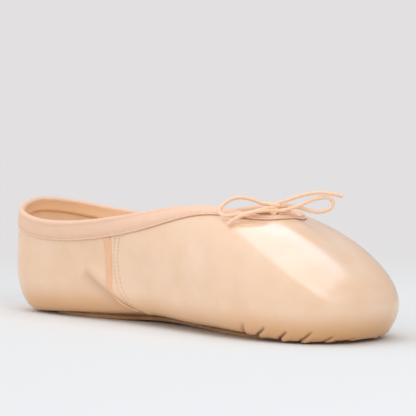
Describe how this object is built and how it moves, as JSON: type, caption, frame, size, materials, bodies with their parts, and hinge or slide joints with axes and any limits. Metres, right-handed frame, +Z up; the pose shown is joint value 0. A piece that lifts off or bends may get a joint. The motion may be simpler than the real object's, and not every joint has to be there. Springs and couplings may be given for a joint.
{
  "type": "demi pointe ballet shoe",
  "caption": "Satin demi pointe ballet shoe with a low collar, cotton drawstring casing, small cord bow and thin leather outsole.",
  "frame": {"origin": "bottom centre of the shoe's bounding box without the bow, on the floor under the outsole", "axes": "+X from heel to toe, +Y to the side away from the camera in the picture, +Z up"},
  "size_m": [0.235, 0.077, 0.0697],
  "materials": {
    "satin": "peach satin, soft sheen",
    "cotton": "matt pink cotton twill",
    "sole_leather": "brown split leather, matt",
    "insole_canvas": "tan canvas, matt",
    "cord": "smooth peach cord"
  },
  "bodies": {
    "root": {"upper": "satin", "collar_casing": "cotton", "seam_tape_near": "satin", "seam_tape_far": "satin", "outsole": "sole_leather", "insole": "insole_canvas", "bow_knot": "cord", "bow_loop_near": "cord", "bow_loop_far": "cord", "bow_end_near": "cord", "bow_end_far": "cord"}
  },
  "joints": []
}
